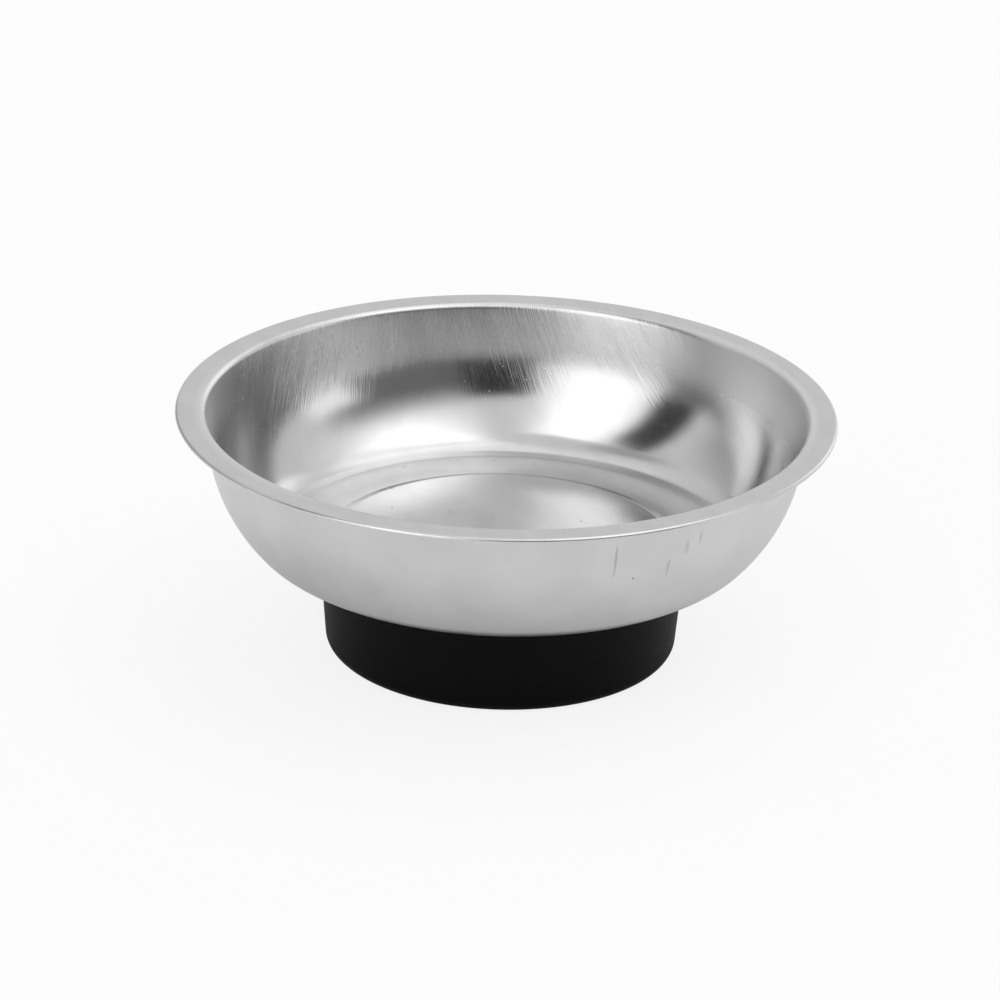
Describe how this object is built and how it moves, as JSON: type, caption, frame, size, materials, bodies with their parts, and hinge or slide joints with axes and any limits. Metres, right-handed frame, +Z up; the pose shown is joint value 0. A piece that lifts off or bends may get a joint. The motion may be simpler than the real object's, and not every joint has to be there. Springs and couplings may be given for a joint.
{
  "type": "magnetic parts tray",
  "caption": "Round flanged steel bowl on a black rubber-booted ring magnet, which holds loose screws and small parts and clings to steel surfaces.",
  "frame": {"origin": "centre of the foot, on the plane that the tray stands on", "axes": "+Z up along the axis of the bowl; the part is round, so X and Y are free"},
  "size_m": [0.108, 0.108, 0.0413],
  "materials": {
    "bowl_steel": "satin, brushed one way before drawing",
    "plated_steel": "bright zinc plate",
    "spring_steel": "dull zinc plate",
    "ferrite": "ground, matt",
    "gasket_rubber": "matt sheet",
    "boot_rubber": "moulded, satin"
  },
  "bodies": {
    "root": {"bowl": "bowl_steel", "weld_stud": "plated_steel", "magnet_gasket": "gasket_rubber", "ring_magnet": "ferrite", "back_plate": "plated_steel", "spring_washer": "spring_steel", "hex_nut": "plated_steel", "rubber_boot": "boot_rubber"}
  },
  "joints": []
}
